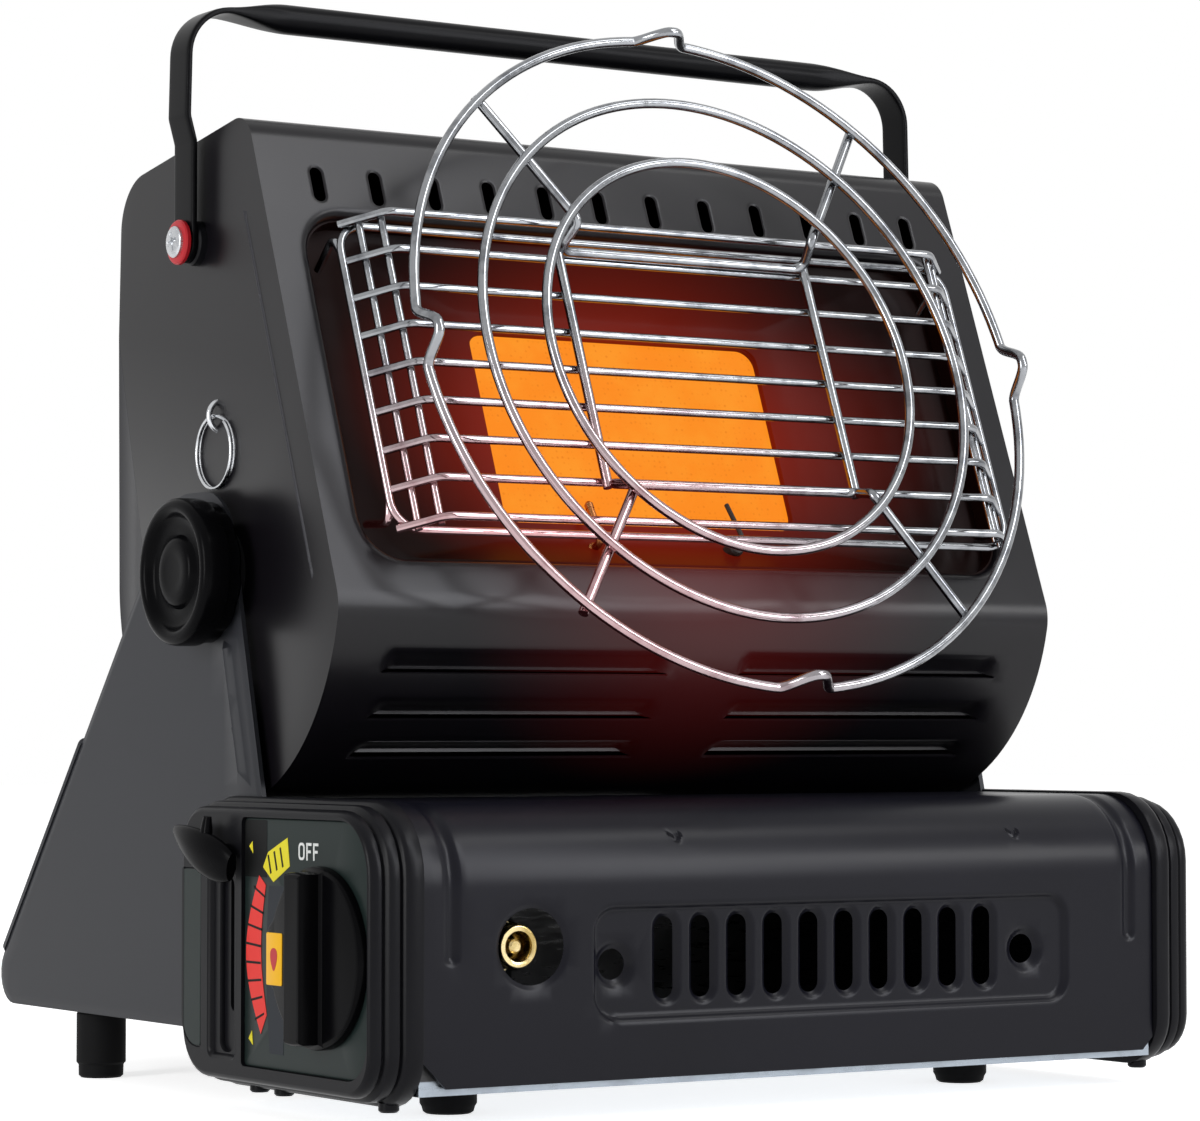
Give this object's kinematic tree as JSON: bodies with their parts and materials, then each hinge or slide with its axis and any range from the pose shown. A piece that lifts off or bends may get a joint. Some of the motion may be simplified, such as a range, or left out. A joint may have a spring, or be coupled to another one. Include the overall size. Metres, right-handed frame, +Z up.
{
  "type": "portable propane heater",
  "caption": "Portable gas heater: a cartridge housing with two side brackets carries a tilting radiant head with a wire guard, a three-ring pot grate and a carry handle.",
  "frame": {"origin": "bottom centre of the whole object's box, on the surface that the feet stand on", "axes": "+Z up, -Y the heating side, +X to the right as seen from the front"},
  "size_m": [0.312, 0.2793, 0.3412],
  "materials": {
    "painted_steel": "satin powder coat",
    "zinc_steel": "zinc-plated sheet",
    "black_plastic": "semi-gloss moulded",
    "panel_plastic": "satin printed panel",
    "rubber": "matt rubber",
    "chrome_wire": "bright chrome-plated wire",
    "bright_steel": "bright plated steel",
    "dark_steel": "blackened steel",
    "brass": "machined brass",
    "cast_alloy": "die-cast alloy",
    "ceramic": "pierced ceramic plaque, glowing",
    "hot_steel": "heat-tinted reflector",
    "copper_tip": "copper probe",
    "red_plastic": "moulded bushing",
    "yellow_plastic": "printed insert",
    "nylon": "nylon washer"
  },
  "bodies": {
    "base": {"base_tray": "zinc_steel", "left_end_cap": "black_plastic", "right_end_cap": "black_plastic", "control_panel": "panel_plastic", "left_bracket": "painted_steel", "right_bracket": "painted_steel", "rear_cross_panel": "painted_steel", "bottom_plate": "painted_steel", "front_feet": "rubber", "rear_legs": "rubber", "bracket_rivets": "bright_steel", "cover_hinge_pins": "bright_steel", "regulator": "cast_alloy", "port_seal": "rubber", "gas_inlet": "brass", "inlet_valve_pin": "brass", "piezo_igniter": "ceramic", "cartridge_saddles": "zinc_steel", "gas_riser": "brass"},
    "cover": {"cartridge_cover": "painted_steel", "cover_hinge_leaves": "painted_steel"},
    "gas_knob": {"gas_knob": "black_plastic", "knob_pointer": "yellow_plastic", "knob_stem": "bright_steel"},
    "lock_lever": {"lock_lever": "black_plastic"},
    "collar_yoke": {"collar_yoke": "zinc_steel"},
    "handle": {"carry_handle": "painted_steel", "handle_grip": "black_plastic"},
    "pull_ring": {"pull_ring": "chrome_wire"},
    "tilt_knob_left": {"tilt_knob_left": "black_plastic"},
    "tilt_knob_right": {"tilt_knob_right": "black_plastic"},
    "head": {"front_shell": "painted_steel", "rear_cover": "painted_steel", "left_side_plate": "painted_steel", "right_side_plate": "painted_steel", "heat_shield": "zinc_steel", "reflector": "hot_steel", "burner_housing": "zinc_steel", "ceramic_plate": "ceramic", "burner_frame": "zinc_steel", "mixing_tube": "cast_alloy", "injector_jet": "brass", "feed_pipe": "brass", "swivel_union": "brass", "ignition_electrode": "ceramic", "thermocouple": "copper_tip", "wire_guard": "chrome_wire", "pot_stand": "chrome_wire", "outer_ring": "chrome_wire", "middle_ring": "chrome_wire", "inner_ring": "chrome_wire", "pivot_bolts": "dark_steel", "pivot_washers": "nylon", "handle_bushings": "red_plastic", "handle_screws": "bright_steel", "ring_eyelet": "chrome_wire", "shell_screws": "dark_steel"}
  },
  "joints": [
    {"name": "head_tilt", "type": "hinge", "parent": "base", "child": "head", "pos_m": [0.0045, -0.01133, 0.1605], "axis": [-1, 0, 0], "range_deg": [-12, 68.5]},
    {"name": "cover_hinge", "type": "hinge", "parent": "base", "child": "cover", "pos_m": [0.0045, -0.03983, 0.0865], "axis": [-1, 0, 0], "range_deg": [0, 28]},
    {"name": "gas_knob_turn", "type": "hinge", "parent": "base", "child": "gas_knob", "pos_m": [-0.1455, -0.10233, 0.048], "axis": [-1, 0, 0], "range_deg": [-52, 36]},
    {"name": "lock_lever_slide", "type": "slide", "parent": "base", "child": "lock_lever", "axis": [0, 0, -1], "range_m": [0, 0.045]},
    {"name": "collar_yoke_slide", "type": "slide", "parent": "base", "child": "collar_yoke", "axis": [-1, 0, 0], "range_m": [0, 0.008]},
    {"name": "handle_swing", "type": "hinge", "parent": "head", "child": "handle", "pos_m": [0.0045, 0.00717, 0.2635], "axis": [-1, 0, 0], "range_deg": [-35, 100]},
    {"name": "pull_ring_swing", "type": "hinge", "parent": "head", "child": "pull_ring", "pos_m": [-0.1291, -0.00633, 0.209], "axis": [0, 1, 0], "range_deg": [0, 150]},
    {"name": "tilt_knob_left_turn", "type": "hinge", "parent": "head", "child": "tilt_knob_left", "pos_m": [-0.1405, -0.01133, 0.1605], "axis": [-1, 0, 0], "continuous": true},
    {"name": "tilt_knob_right_turn", "type": "hinge", "parent": "head", "child": "tilt_knob_right", "pos_m": [0.1495, -0.01133, 0.1605], "axis": [1, 0, 0], "continuous": true}
  ],
  "couplings": [
    {"joint": "collar_yoke_slide", "follows": "lock_lever_slide", "ratio": 0.17778}
  ]
}
